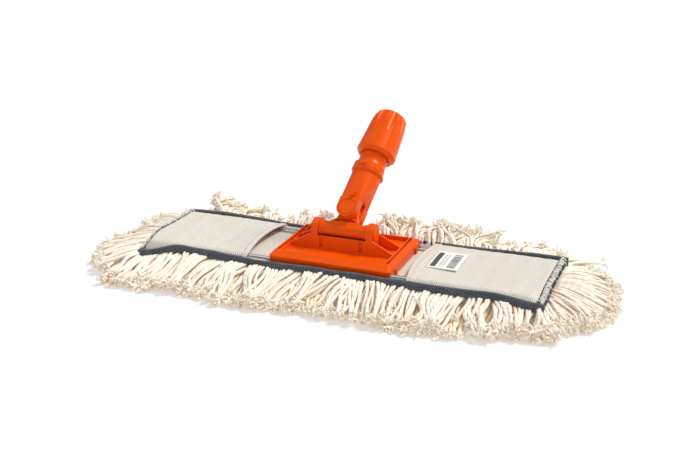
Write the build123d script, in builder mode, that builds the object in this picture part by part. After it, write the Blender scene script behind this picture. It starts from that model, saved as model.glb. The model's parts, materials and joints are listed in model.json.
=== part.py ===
from build123d import *
from math import cos, radians, sin, tan
import os

# Flat dust mop: a cotton mop cover on a folding wire frame, a moulded centre plate,
# a two-way swivel head and a twist-lock socket for a pole.
# Millimetres, +Z up. X runs along the mop, Y from its front to its back.
# The origin is on the floor under the centre of the plate.

# ---- Driving dimensions --------------------------------------------------------

COVER_LENGTH = 500.0  # sewn length of the mop cover
COVER_WIDTH = 124.0  # sewn width over the rolled edge bindings
FRINGE_LENGTH = 650.0  # overall, with the yarn
FRINGE_WIDTH = 256.0
YARN_HEIGHT = 26.2  # thickness of the yarn under the backing
CLOTH = 1.6  # canvas thickness
SOFT_GAP = 0.3  # air between soft pieces
BINDING_WIDTH = 7.0
BINDING_HEIGHT = 10.5

FOLD_X = 60.0  # wing hinge axes, either side of the centre
FOLD_ANGLE = 60.0  # how far each wing folds down
WIRE_RADIUS = 2.5
WIRE_Z = 32.0  # height of the wire's centre line
WIRE_Y = 47.0  # half the spacing of a loop's two legs
WIRE_END_X = 232.0
WIRE_CORNER = 14.0
WIRE_BEND = 4.5

PLATE_LENGTH = 151.0
PLATE_WIDTH = 104.0
PLATE_BOTTOM = 28.4
PLATE_EDGE_Z = 38.4  # top of the vertical skirt
RIDGE_Z = 43.0  # top of the raised rim
RIM_END = 4.5  # rim slope on the short sides, in plan
RIM_SIDE = 9.5  # rim slope on the long sides, in plan
WALL = 2.0
FLOOR_TOP = 38.4  # recessed floor inside the rim
FLOOR_THICKNESS = 2.3
SECOND_RIDGE_X = 65.0

HINGE_Z = 59.5  # tilt axis, along X
POST_RADIUS = 12.0
POST_INNER_X = 30.5
POST_OUTER_X = 38.5
AXLE_RADIUS = 4.0
RUNNING = 0.05  # radial clearance of a running fit
BARREL_RADIUS = 8.75
RING_RADIUS = 9.6
RING_WIDTH = 4.0
BARREL_HALF = 30.1

REST_TILT = 49.5  # handle leans back from the vertical
REST_SWING = 5.5  # and a little towards +X
PIN_ABOVE_HINGE = 23.2
PIN_RADIUS = 4.0
PIN_HEAD_RADIUS = 9.8
PIN_HEAD_THICKNESS = 2.4
TONGUE_HALF = 4.7
TONGUE_RADIUS = 11.3
SLOT_HALF = 5.0
TINE_HALF_WIDTH = 12.5
FORK_HALF_THICKNESS = 16.9

# Heights along the handle, measured from the swing pin.
SLOT_TOP = 16.0
FORK_BLEND_START = 12.0
FORK_BLEND_END = 44.0
SOCKET_FLOOR = 40.0
COLLAR_BOTTOM = 53.8
COLLAR_TOP = 64.5
NUT_BOTTOM = 79.5
NUT_RIM = 83.4
NUT_TOP = 140.0

BODY_RADIUS = 18.0
COLLAR_RADIUS = 20.0
NECK_RADIUS = 17.0
SPIGOT_RADIUS = 15.0
POLE_BORE_RADIUS = 12.15  # for a 24 mm pole
THREAD_RADIUS = 16.0
NUT_RIM_RADIUS = 24.6
NUT_TOP_RADIUS = 20.2
FLUTES = 9
FLUTE_RADIUS = 5.6
FLUTE_TILT = 13.0
FLUTE_REACH = 36.0
GROOVE_TILT = 4.3

os.makedirs("parts", exist_ok=True)

# ---- Reference planes of the swivel head ----------------------------------------

lean = Vector(0, sin(radians(REST_TILT)), cos(radians(REST_TILT)))
yoke_frame = Plane(origin=(0, 0, HINGE_Z), x_dir=(1, 0, 0), z_dir=lean)
pin_centre = Vector(0, 0, HINGE_Z) + lean * PIN_ABOVE_HINGE
swung_z = lean * cos(radians(REST_SWING)) + Vector(1, 0, 0) * sin(radians(REST_SWING))
swung_x = Vector(1, 0, 0) * cos(radians(REST_SWING)) - lean * sin(radians(REST_SWING))
handle_frame = Plane(origin=pin_centre, x_dir=swung_x, z_dir=swung_z)
handle_axis = Axis(pin_centre, swung_z)


def facing(frame: Plane, forward: float = 0.0) -> Plane:
    """Plane along a frame's axis whose normal points to the mop's front; y runs up the axis."""
    front = frame.y_dir * -1
    return Plane(origin=frame.origin + front * forward, x_dir=frame.x_dir, z_dir=front)


def write(piece, name: str) -> None:
    """Label a finished piece and write its STEP file."""
    piece.label = name
    export_step(piece, f"parts/{name}.step")


# ---- Centre plate ----------------------------------------------------------------

HOUSING_HALF = 13.0
HOUSING_INNER = 10.4
HOUSING_TOP = 54.0
HOUSING_CREASE_Z = 45.0
SHOULDER_Z = 55.0
BEARING_Y = 38.0
BEARING_LENGTH = 8.0
BEARING_HALF = 4.5
WIRE_SLOT = 5.8
GROOVE_X = 25.0
TAB_Y = 33.0

with BuildPart() as base_plate:
    # Skirt and sloped rim.
    with BuildSketch(Plane.XY.offset(PLATE_BOTTOM)):
        RectangleRounded(PLATE_LENGTH, PLATE_WIDTH, 4)
    extrude(amount=PLATE_EDGE_Z - PLATE_BOTTOM)
    with BuildSketch(Plane.XY.offset(PLATE_EDGE_Z)):
        RectangleRounded(PLATE_LENGTH, PLATE_WIDTH, 4)
    with BuildSketch(Plane.XY.offset(RIDGE_Z)):
        RectangleRounded(PLATE_LENGTH - 2 * RIM_END, PLATE_WIDTH - 2 * RIM_SIDE, 3)
    loft()
    # Recess inside the rim, and the hollow under the floor.
    with BuildSketch(Plane.XY.offset(RIDGE_Z)):
        RectangleRounded(PLATE_LENGTH - 2 * RIM_END - 3, PLATE_WIDTH - 2 * RIM_SIDE - 3, 2)
    extrude(amount=FLOOR_TOP - RIDGE_Z, mode=Mode.SUBTRACT)
    with BuildSketch(Plane.XY.offset(PLATE_BOTTOM)):
        RectangleRounded(PLATE_LENGTH - 2 * WALL, PLATE_WIDTH - 2 * WALL, 2.5)
    extrude(amount=FLOOR_TOP - FLOOR_THICKNESS - PLATE_BOTTOM, mode=Mode.SUBTRACT)
    # Second ridge on each short side, tied to the first by short cross ribs.
    with BuildSketch(Plane.XY.offset(FLOOR_TOP)):
        with Locations((-SECOND_RIDGE_X, 0), (SECOND_RIDGE_X, 0)):
            Rectangle(1.6, PLATE_WIDTH - 2 * RIM_SIDE - 2)
    extrude(amount=RIDGE_Z - FLOOR_TOP - 0.3)
    with BuildSketch(Plane.XY.offset(FLOOR_TOP)):
        with GridLocations(2 * SECOND_RIDGE_X + 5, 26, 2, 3):
            Rectangle(5, 1.4)
    extrude(amount=2.2)
    # Housing walls: a low mountain that falls from the posts to the second ridges.
    with BuildSketch(Plane.YZ.offset(-SECOND_RIDGE_X)):
        for side in (-1, 1):
            with BuildLine():
                Polyline(
                    (side * HOUSING_INNER, FLOOR_TOP - 1),
                    (side * (HOUSING_HALF + 1.8), FLOOR_TOP - 1),
                    (side * (HOUSING_HALF + 0.4), HOUSING_CREASE_Z),
                    (side * (HOUSING_HALF - 0.4), SHOULDER_Z),
                    (side * HOUSING_INNER, SHOULDER_Z),
                    close=True,
                )
            make_face()
    extrude(amount=2 * SECOND_RIDGE_X)
    with BuildSketch(Plane.XZ):
        for side in (-1, 1):
            with BuildLine():
                Polyline(
                    (side * (POST_INNER_X + 7), SHOULDER_Z + 1),
                    (side * (POST_OUTER_X + 1), SHOULDER_Z),
                    (side * (SECOND_RIDGE_X + 1), HOUSING_CREASE_Z - 3.4),
                    (side * (SECOND_RIDGE_X + 1), SHOULDER_Z + 1),
                    close=True,
                )
            make_face()
        with Locations((0, (HOUSING_TOP + SHOULDER_Z + 1) / 2)):
            Rectangle(2 * POST_INNER_X, SHOULDER_Z + 1 - HOUSING_TOP)
    extrude(amount=PLATE_WIDTH / 4, both=True, mode=Mode.SUBTRACT)
    # Hinge posts.
    for start in (-POST_OUTER_X, POST_INNER_X):
        with BuildSketch(Plane.YZ.offset(start)):
            with Locations((0, HINGE_Z)):
                Circle(POST_RADIUS)
            with BuildLine():
                Polyline(
                    (-HOUSING_HALF, FLOOR_TOP - 1),
                    (HOUSING_HALF, FLOOR_TOP - 1),
                    (POST_RADIUS, HINGE_Z),
                    (-POST_RADIUS, HINGE_Z),
                    close=True,
                )
            make_face()
        extrude(amount=POST_OUTER_X - POST_INNER_X)
    # Upright grooves under the barrel's rings, on the front and back of the housing.
    with BuildSketch(Plane.XY.offset(FLOOR_TOP + 2)):
        with GridLocations(2 * GROOVE_X, 2 * (HOUSING_HALF + 0.8), 2, 2):
            Rectangle(5, 4.4)
    extrude(amount=SHOULDER_Z - FLOOR_TOP, mode=Mode.SUBTRACT)
    # Axle bore, with a shallow seat for each end cap.
    with BuildSketch(Plane.YZ.offset(-POST_OUTER_X)):
        with Locations((0, HINGE_Z)):
            Circle(AXLE_RADIUS)
    extrude(amount=2 * POST_OUTER_X, mode=Mode.SUBTRACT)
    for start in (-POST_OUTER_X, POST_OUTER_X - 2):
        with BuildSketch(Plane.YZ.offset(start)):
            with Locations((0, HINGE_Z)):
                Circle(6)
        extrude(amount=2, mode=Mode.SUBTRACT)
    # Bearings that hang under the floor and carry the wires' pivot ends.
    with BuildSketch(Plane.XY.offset(PLATE_BOTTOM + 0.2)):
        with GridLocations(2 * FOLD_X, 2 * BEARING_Y, 2, 2):
            Rectangle(2 * BEARING_HALF, BEARING_LENGTH)
    extrude(amount=FLOOR_TOP - FLOOR_THICKNESS - PLATE_BOTTOM)
    for side in (-1, 1):
        with BuildSketch(Plane.XZ.offset(-BEARING_Y - BEARING_LENGTH)):
            with Locations((side * FOLD_X, WIRE_Z)):
                Circle(WIRE_RADIUS + RUNNING)
        extrude(amount=2 * (BEARING_Y + BEARING_LENGTH), mode=Mode.SUBTRACT)
    # Slots in the short skirts for the wire legs, and a small tab beside each.
    with BuildSketch(Plane.XY.offset(PLATE_BOTTOM)):
        with GridLocations(PLATE_LENGTH - WALL, 2 * WIRE_Y, 2, 2):
            Rectangle(2 * WALL, WIRE_SLOT)
    extrude(amount=WIRE_Z + WIRE_RADIUS + 0.4 - PLATE_BOTTOM, mode=Mode.SUBTRACT)
    with BuildSketch(Plane.XY.offset(PLATE_BOTTOM)):
        with GridLocations(PLATE_LENGTH + 1, 2 * TAB_Y, 2, 2):
            Rectangle(3, 4)
    extrude(amount=6)
write(base_plate.part, "base_plate")

with BuildPart() as tilt_axle:
    with BuildSketch(Plane.YZ.offset(2 - POST_OUTER_X)):
        with Locations((0, HINGE_Z)):
            Circle(AXLE_RADIUS)
    extrude(amount=2 * POST_OUTER_X - 4)
write(tilt_axle.part, "tilt_axle")

for name, side in (("axle_cap_left", -1), ("axle_cap_right", 1)):
    with BuildPart() as axle_cap:
        with BuildSketch(Plane.YZ.offset(side * (POST_OUTER_X - 2))):
            with Locations((0, HINGE_Z)):
                Circle(6)
        extrude(amount=side * 2)
        with BuildSketch(Plane.YZ.offset(side * POST_OUTER_X)):
            with Locations((0, HINGE_Z)):
                Circle(9)
        extrude(amount=side * 1.6)
        fillet(axle_cap.faces().sort_by(Axis.X)[-1 if side > 0 else 0].edges(), 0.9)
    write(axle_cap.part, name)

# ---- Yoke: tilts on the axle, carries the fork on its tongue ----------------------

YOKE_HALF = 18.5
YOKE_FLANGE = 8.0
RECESS_EDGE = 13.0

with BuildPart() as yoke:
    # Flanged web, cleared around the tines' round ends.
    with BuildSketch(facing(yoke_frame, YOKE_FLANGE)):
        with BuildLine():
            Polyline(
                (-YOKE_HALF, 0),
                (-YOKE_HALF, 6),
                (-9.6, 13),
                (9.6, 13),
                (YOKE_HALF, 6),
                (YOKE_HALF, 0),
                close=True,
            )
        make_face()
    extrude(amount=-2 * YOKE_FLANGE)
    with BuildSketch(facing(yoke_frame, YOKE_FLANGE)):
        with Locations((0, PIN_ABOVE_HINGE)):
            Circle(TINE_HALF_WIDTH + 0.6)
    extrude(amount=-2 * YOKE_FLANGE, mode=Mode.SUBTRACT)
    for start in (YOKE_FLANGE, -TONGUE_HALF):
        with BuildSketch(facing(yoke_frame, start)):
            with BuildLine():
                Polyline(
                    (-RECESS_EDGE, 7),
                    (-RECESS_EDGE, 8),
                    (-8, 11.6),
                    (8, 11.6),
                    (RECESS_EDGE, 8),
                    (RECESS_EDGE, 7),
                    close=True,
                )
            make_face()
        extrude(amount=TONGUE_HALF - YOKE_FLANGE, mode=Mode.SUBTRACT)
    # Barrel with a raised ring at each end.
    with BuildSketch(Plane.YZ.offset(-BARREL_HALF)):
        with Locations((0, HINGE_Z)):
            Circle(BARREL_RADIUS)
    extrude(amount=2 * BARREL_HALF)
    for start in (-BARREL_HALF, BARREL_HALF - RING_WIDTH):
        with BuildSketch(Plane.YZ.offset(start)):
            with Locations((0, HINGE_Z)):
                Circle(RING_RADIUS)
        extrude(amount=RING_WIDTH)
    # Tongue.
    with BuildSketch(facing(yoke_frame, TONGUE_HALF)):
        with BuildLine():
            Polyline(
                (-YOKE_HALF + 2, 0),
                (-TONGUE_RADIUS + 0.2, PIN_ABOVE_HINGE - 3),
                (TONGUE_RADIUS - 0.2, PIN_ABOVE_HINGE - 3),
                (YOKE_HALF - 2, 0),
                close=True,
            )
        make_face()
        with Locations((0, PIN_ABOVE_HINGE)):
            Circle(TONGUE_RADIUS)
    extrude(amount=-2 * TONGUE_HALF)
    # Bores for the axle and the swing pin.
    with BuildSketch(Plane.YZ.offset(-BARREL_HALF)):
        with Locations((0, HINGE_Z)):
            Circle(AXLE_RADIUS + RUNNING)
    extrude(amount=2 * BARREL_HALF, mode=Mode.SUBTRACT)
    with BuildSketch(facing(yoke_frame, TONGUE_HALF)):
        with Locations((0, PIN_ABOVE_HINGE)):
            Circle(PIN_RADIUS + RUNNING)
    extrude(amount=-2 * TONGUE_HALF, mode=Mode.SUBTRACT)
write(yoke.part, "yoke")

# ---- Fork, its pin and the pole socket ---------------------------------------------

BUTTON_HEIGHT = 60.0
BUTTON_RADIUS = 2.6
BUTTON_HOLE_RADIUS = 2.7
MARK_REACH = 4.0

with BuildPart() as fork_socket:
    # Tines with round ends.
    with BuildSketch(facing(handle_frame, FORK_HALF_THICKNESS)):
        Circle(TINE_HALF_WIDTH)
        with Locations((0, FORK_BLEND_START / 2)):
            Rectangle(2 * TINE_HALF_WIDTH, FORK_BLEND_START)
    extrude(amount=-2 * FORK_HALF_THICKNESS)
    # Flat-sided fork blending into the round body.
    with BuildSketch(handle_frame.offset(FORK_BLEND_START)):
        RectangleRounded(2 * TINE_HALF_WIDTH, 2 * FORK_HALF_THICKNESS, 2.5)
    with BuildSketch(handle_frame.offset(FORK_BLEND_END)):
        RectangleRounded(2 * BODY_RADIUS, 2 * BODY_RADIUS, BODY_RADIUS - 0.01)
    loft()
    with BuildSketch(handle_frame.offset(FORK_BLEND_END)):
        Circle(BODY_RADIUS)
    extrude(amount=COLLAR_BOTTOM - FORK_BLEND_END)
    # Collar: a lip, and a raised band that stops at a notch.
    with BuildSketch(facing(handle_frame)):
        with BuildLine():
            Polyline(
                (0, COLLAR_BOTTOM - 1.2),
                (BODY_RADIUS, COLLAR_BOTTOM - 1.2),
                (COLLAR_RADIUS + 0.2, COLLAR_BOTTOM),
                (COLLAR_RADIUS + 0.2, COLLAR_BOTTOM + 1.6),
                (COLLAR_RADIUS - 1.8, COLLAR_BOTTOM + 2.6),
                (COLLAR_RADIUS - 1.8, COLLAR_TOP - 1.2),
                (COLLAR_RADIUS - 2.6, COLLAR_TOP),
                (0, COLLAR_TOP),
                close=True,
            )
        make_face()
    revolve(axis=handle_axis)
    with BuildSketch(handle_frame.offset(COLLAR_BOTTOM + 2.4)):
        Circle(COLLAR_RADIUS)
        Rectangle(60, 60, align=(Align.MIN, Align.MIN), rotation=-20, mode=Mode.SUBTRACT)
    extrude(amount=COLLAR_TOP - COLLAR_BOTTOM - 3.6)
    # Slot for the yoke's tongue, with a peaked root.
    with BuildSketch(Plane(origin=handle_frame.origin, x_dir=handle_frame.y_dir, z_dir=handle_frame.x_dir)):
        with BuildLine():
            Polyline(
                (-SLOT_HALF, -TINE_HALF_WIDTH - 1),
                (SLOT_HALF, -TINE_HALF_WIDTH - 1),
                (SLOT_HALF, SLOT_TOP - 2),
                (2.5, SLOT_TOP - 2),
                (0, SLOT_TOP),
                (-2.5, SLOT_TOP - 2),
                (-SLOT_HALF, SLOT_TOP - 2),
                close=True,
            )
        make_face()
    extrude(amount=2 * BODY_RADIUS, both=True, mode=Mode.SUBTRACT)
    # Socket for the adaptor.
    with BuildSketch(handle_frame.offset(SOCKET_FLOOR)):
        Circle(SPIGOT_RADIUS)
    extrude(amount=COLLAR_TOP - SOCKET_FLOOR, mode=Mode.SUBTRACT)
    # Pin hole, with a seat for the head in front and for the cap behind.
    with BuildSketch(facing(handle_frame, FORK_HALF_THICKNESS)):
        Circle(PIN_RADIUS)
    extrude(amount=-2 * FORK_HALF_THICKNESS, mode=Mode.SUBTRACT)
    for start in (FORK_HALF_THICKNESS, -FORK_HALF_THICKNESS + PIN_HEAD_THICKNESS):
        with BuildSketch(facing(handle_frame, start)):
            Circle(PIN_HEAD_RADIUS + 0.6)
        extrude(amount=-PIN_HEAD_THICKNESS, mode=Mode.SUBTRACT)
    # Hole for the snap button in the front of the collar.
    with BuildSketch(facing(handle_frame, SPIGOT_RADIUS - 2)):
        with Locations((0, BUTTON_HEIGHT)):
            Circle(BUTTON_HOLE_RADIUS)
    extrude(amount=COLLAR_RADIUS, mode=Mode.SUBTRACT)
    # Plain moulded tally mark above the pin.
    with BuildSketch(facing(handle_frame, FORK_HALF_THICKNESS)):
        with Locations((2, 15.5)):
            SlotOverall(5, 1.8, rotation=30)
        with Locations((3, 19)):
            Circle(1.3)
    extrude(amount=MARK_REACH)
write(fork_socket.part, "fork_socket")

with BuildPart() as swing_pin:
    with BuildSketch(facing(handle_frame, FORK_HALF_THICKNESS - PIN_HEAD_THICKNESS)):
        Circle(PIN_HEAD_RADIUS)
    extrude(amount=PIN_HEAD_THICKNESS + 0.3)
    fillet(swing_pin.faces().sort_by(Axis(pin_centre, handle_frame.y_dir))[0].edges(), 0.5)
    with BuildSketch(facing(handle_frame, FORK_HALF_THICKNESS - PIN_HEAD_THICKNESS)):
        Circle(PIN_RADIUS)
    extrude(amount=-2 * (FORK_HALF_THICKNESS - PIN_HEAD_THICKNESS))
write(swing_pin.part, "swing_pin")

with BuildPart() as swing_pin_cap:
    with BuildSketch(facing(handle_frame, PIN_HEAD_THICKNESS - FORK_HALF_THICKNESS)):
        Circle(PIN_HEAD_RADIUS)
    extrude(amount=-PIN_HEAD_THICKNESS - 0.3)
    fillet(swing_pin_cap.faces().sort_by(Axis(pin_centre, handle_frame.y_dir))[-1].edges(), 0.5)
write(swing_pin_cap.part, "swing_pin_cap")

ADAPTOR_TOP = 116.0
COLLET_TOP = 131.5
THREAD_START = 88.0
POLE_STOP = 42.5

with BuildPart() as pole_adaptor:
    with BuildSketch(facing(handle_frame)):
        with BuildLine():
            Polyline(
                (0, SOCKET_FLOOR),
                (SPIGOT_RADIUS, SOCKET_FLOOR),
                (SPIGOT_RADIUS, COLLAR_TOP),
                (NECK_RADIUS + 1, COLLAR_TOP),
                (NECK_RADIUS, COLLAR_TOP + 4),
                (NECK_RADIUS, THREAD_START - 2),
                (THREAD_RADIUS, THREAD_START),
                (THREAD_RADIUS, ADAPTOR_TOP),
                (0, ADAPTOR_TOP),
                close=True,
            )
        make_face()
    revolve(axis=handle_axis)
    with BuildSketch(handle_frame.offset(POLE_STOP)):
        Circle(POLE_BORE_RADIUS)
    extrude(amount=ADAPTOR_TOP - POLE_STOP, mode=Mode.SUBTRACT)
    # Pocket for the snap button and its spring, in the front of the spigot.
    with BuildSketch(facing(handle_frame, POLE_BORE_RADIUS + 0.5)):
        with Locations((0, BUTTON_HEIGHT)):
            Circle(BUTTON_HOLE_RADIUS)
    extrude(amount=SPIGOT_RADIUS, mode=Mode.SUBTRACT)
write(pole_adaptor.part, "pole_adaptor")

SPRING_WIRE = 0.35
BUTTON_BACK = 15.2
BUTTON_FRONT = 21.6

with BuildPart() as snap_button:
    with BuildSketch(facing(handle_frame, BUTTON_BACK)):
        with Locations((0, BUTTON_HEIGHT)):
            Circle(BUTTON_RADIUS)
    extrude(amount=BUTTON_FRONT - BUTTON_BACK)
    fillet(snap_button.faces().sort_by(Axis(pin_centre, handle_frame.y_dir))[0].edges(), 1.4)
write(snap_button.part, "snap_button")

spring_seat = facing(handle_frame, POLE_BORE_RADIUS + 0.9)
spring_start = spring_seat.from_local_coords((0, BUTTON_HEIGHT, 0))

with BuildPart() as button_spring:
    with BuildLine() as coil:
        Helix(pitch=0.85, height=1.7, radius=1.85, center=spring_start, direction=spring_seat.z_dir)
    with BuildSketch(Plane(coil.line @ 0, z_dir=coil.line % 0)):
        Circle(SPRING_WIRE)
    sweep(path=coil.line, is_frenet=True)
write(button_spring.part, "button_spring")

with BuildPart() as collet_ring:
    with BuildSketch(facing(handle_frame)):
        with BuildLine():
            Polyline(
                (POLE_BORE_RADIUS, ADAPTOR_TOP + 0.2),
                (THREAD_RADIUS - 0.5, ADAPTOR_TOP + 0.2),
                (THREAD_RADIUS - 2.3, COLLET_TOP),
                (POLE_BORE_RADIUS, COLLET_TOP),
                close=True,
            )
        make_face()
    revolve(axis=handle_axis)
    with BuildSketch(handle_frame.offset(ADAPTOR_TOP)):
        with Locations((0, -THREAD_RADIUS)):
            Rectangle(2, 2 * THREAD_RADIUS - 4)
    extrude(amount=COLLET_TOP - ADAPTOR_TOP, mode=Mode.SUBTRACT)
write(collet_ring.part, "collet_ring")

with BuildPart() as clamp_nut:
    with BuildSketch(facing(handle_frame)):
        with BuildLine():
            Polyline(
                (NECK_RADIUS + 0.5, NUT_BOTTOM),
                (NUT_RIM_RADIUS - 3.4, NUT_BOTTOM),
                (NUT_RIM_RADIUS, NUT_RIM),
                (NUT_RIM_RADIUS - 0.2, NUT_RIM + 2.5),
                (NUT_TOP_RADIUS + 1.4, NUT_TOP - 14),
                (NUT_TOP_RADIUS, NUT_TOP - 5),
                (NUT_TOP_RADIUS - 2.4, NUT_TOP - 1.4),
                (NUT_TOP_RADIUS - 5, NUT_TOP),
                (POLE_BORE_RADIUS + 0.6, NUT_TOP),
                (POLE_BORE_RADIUS + 0.6, COLLET_TOP + 1),
                (THREAD_RADIUS - 2.0, COLLET_TOP + 0.4),
                (THREAD_RADIUS + 0.08, ADAPTOR_TOP + 0.5),
                (THREAD_RADIUS + 0.08, THREAD_START + 1),
                (NECK_RADIUS + 0.5, THREAD_START - 2),
                close=True,
            )
        make_face()
    revolve(axis=handle_axis)
    # Teardrop grip flutes: round cuts that start deep at the top and run out down the side.
    for flute in range(FLUTES):
        bearing = radians(360 * (flute + 0.5) / FLUTES)
        outward = handle_frame.x_dir * cos(bearing) + handle_frame.y_dir * sin(bearing)
        start = pin_centre + handle_frame.z_dir * (NUT_TOP + 1) + outward * (NUT_TOP_RADIUS + 1.0)
        downward = outward * sin(radians(FLUTE_TILT)) - handle_frame.z_dir * cos(radians(FLUTE_TILT))
        with BuildSketch(Plane(origin=start, z_dir=downward)):
            Circle(FLUTE_RADIUS)
        extrude(amount=FLUTE_REACH, mode=Mode.SUBTRACT)
    # A fine straight groove beside each flute, down to the rim.
    for flute in range(FLUTES):
        bearing = radians(360 * (flute + 0.5) / FLUTES + 15)
        outward = handle_frame.x_dir * cos(bearing) + handle_frame.y_dir * sin(bearing)
        start = pin_centre + handle_frame.z_dir * NUT_TOP + outward * (NUT_TOP_RADIUS + 0.3)
        downward = outward * sin(radians(GROOVE_TILT)) - handle_frame.z_dir * cos(radians(GROOVE_TILT))
        with BuildSketch(Plane(origin=start, z_dir=downward)):
            Circle(0.9)
        extrude(amount=NUT_TOP - NUT_RIM - 2, mode=Mode.SUBTRACT)
write(clamp_nut.part, "clamp_nut")

# ---- Wire loops ----------------------------------------------------------------------

for name, side in (("wire_left", -1), ("wire_right", 1)):
    pivot_end = BEARING_Y - BEARING_LENGTH / 2 - 0.5
    with BuildPart() as wire:
        with BuildLine() as route:
            FilletPolyline(
                (side * FOLD_X, pivot_end, WIRE_Z),
                (side * FOLD_X, WIRE_Y, WIRE_Z),
                (side * WIRE_END_X, WIRE_Y, WIRE_Z),
                (side * WIRE_END_X, -WIRE_Y, WIRE_Z),
                (side * FOLD_X, -WIRE_Y, WIRE_Z),
                (side * FOLD_X, -pivot_end, WIRE_Z),
                radius=[WIRE_BEND, WIRE_CORNER, WIRE_CORNER, WIRE_BEND],
            )
        with BuildSketch(Plane(origin=route.line @ 0, z_dir=route.line % 0)):
            Circle(WIRE_RADIUS)
        sweep(path=route.line)
    write(wire.part, name)

# ---- Mop cover -------------------------------------------------------------------------

SOLE_TOP = YARN_HEIGHT
BACKING_BOTTOM = SOLE_TOP + SOFT_GAP
BACKING_TOP = BACKING_BOTTOM + CLOTH
BINDING_INNER = COVER_WIDTH / 2 - BINDING_WIDTH
CLOTH_HALF = BINDING_INNER - SOFT_GAP
BINDING_MIDDLE_Z = 31.3
SOLE_HALF = 57.0
LEFT_MOUTH = 104.0
RIGHT_MOUTH = 95.0
POCKET_END = 239.2
POCKET_TOP = 36.6
POCKET_SIDE = 50.3
COVER_HALF = COVER_LENGTH / 2
NOTCH = tan(radians(FOLD_ANGLE / 2 + 1))

# A wedge of air at each fold line lets the wings swing down without meeting the centre.
with BuildPart() as fold_notches:
    for side in (-1, 1):
        with BuildSketch(Plane.XZ):
            with BuildLine():
                Polyline(
                    (side * (FOLD_X - SOFT_GAP), RIDGE_Z),
                    (side * (FOLD_X + SOFT_GAP), RIDGE_Z),
                    (side * (FOLD_X + SOFT_GAP), WIRE_Z),
                    (side * (FOLD_X + SOFT_GAP + WIRE_Z * NOTCH), 0),
                    (side * (FOLD_X - SOFT_GAP - WIRE_Z * NOTCH), 0),
                    (side * (FOLD_X - SOFT_GAP), WIRE_Z),
                    close=True,
                )
            make_face()
        extrude(amount=FRINGE_WIDTH, both=True)


def write_stretches(whole, name: str) -> None:
    """Cut a full-length soft piece at the fold lines and write its three stretches."""
    with BuildPart() as stretches:
        add(whole)
        add(fold_notches.part, mode=Mode.SUBTRACT)
    for place, solid in zip(("left", "centre", "right"), stretches.solids().sort_by(Axis.X)):
        write(solid, f"{name}_{place}")


with BuildPart() as backing:
    with BuildSketch(Plane.XY.offset(BACKING_BOTTOM)):
        Rectangle(COVER_LENGTH, 2 * CLOTH_HALF)
    extrude(amount=CLOTH)
write_stretches(backing.part, "backing")

with BuildPart() as sole:
    with BuildSketch(Plane.XY):
        Rectangle(COVER_LENGTH - 1, 2 * SOLE_HALF)
    extrude(amount=SOLE_TOP)
write_stretches(sole.part, "sole")

for name, side in (("binding_front", -1), ("binding_back", 1)):
    with BuildPart() as binding:
        with BuildSketch(Plane.YZ.offset(-COVER_HALF)):
            with Locations((side * (COVER_WIDTH - BINDING_WIDTH) / 2, BINDING_MIDDLE_Z)):
                RectangleRounded(BINDING_WIDTH, BINDING_HEIGHT, 3)
        extrude(amount=COVER_LENGTH)
    write_stretches(binding.part, name)

FRINGE_INNER = SOLE_HALF + SOFT_GAP
FRINGE_TOP = BINDING_MIDDLE_Z - BINDING_HEIGHT / 2 - 0.6
FRONT_PROFILE = (
    (FRINGE_INNER, 0),
    (FRINGE_INNER, FRINGE_TOP),
    (66, FRINGE_TOP),
    (96, 19),
    (120, 10),
    (FRINGE_WIDTH / 2, 0),
)
BACK_PROFILE = (
    (FRINGE_INNER, 0),
    (FRINGE_INNER, FRINGE_TOP),
    (65, FRINGE_TOP),
    (76, 36),
    (92, 34),
    (116, 15),
    (FRINGE_WIDTH / 2, 0),
)

for name, side, profile in (("fringe_front", -1, FRONT_PROFILE), ("fringe_back", 1, BACK_PROFILE)):
    with BuildPart() as fringe:
        with BuildSketch(Plane.YZ.offset(-COVER_HALF)):
            with BuildLine():
                Polyline(*[(side * y, z) for y, z in profile], close=True)
            make_face()
        extrude(amount=COVER_LENGTH)
    write_stretches(fringe.part, name)

for name, side in (("fringe_end_left", -1), ("fringe_end_right", 1)):
    base = side * (COVER_HALF + SOFT_GAP)
    reach = FRINGE_LENGTH / 2 - COVER_HALF - SOFT_GAP
    with BuildPart() as fringe_end:
        for height, out, half in ((0, reach, FRINGE_WIDTH / 2), (YARN_HEIGHT, reach * 0.35, 92)):
            with BuildSketch(Plane.XY.offset(height)):
                with BuildLine():
                    ThreePointArc((base, -half), (base + side * out, 0), (base, half))
                    Line((base, half), (base, -half))
                make_face()
        loft()
    write(fringe_end.part, name)

for name, side, mouth in (("pocket_left", -1, LEFT_MOUTH), ("pocket_right", 1, RIGHT_MOUTH)):
    with BuildPart() as pocket:
        with BuildSketch(Plane.XY.offset(BACKING_TOP + SOFT_GAP)):
            with Locations((side * (mouth + POCKET_END) / 2, 0)):
                Rectangle(POCKET_END - mouth, 2 * CLOTH_HALF)
        extrude(amount=POCKET_TOP - BACKING_TOP - SOFT_GAP)
        with BuildSketch(Plane.XY.offset(BACKING_TOP + SOFT_GAP)):
            with Locations((side * (mouth + POCKET_END - 2 * CLOTH - 0.8) / 2, 0)):
                Rectangle(POCKET_END - mouth - 2 * CLOTH - 0.8, 2 * POCKET_SIDE)
        extrude(amount=POCKET_TOP - BACKING_TOP - SOFT_GAP - CLOTH, mode=Mode.SUBTRACT)
    write(pocket.part, name)

TAPE_LENGTH = COVER_HALF - POCKET_END - SOFT_GAP

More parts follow.
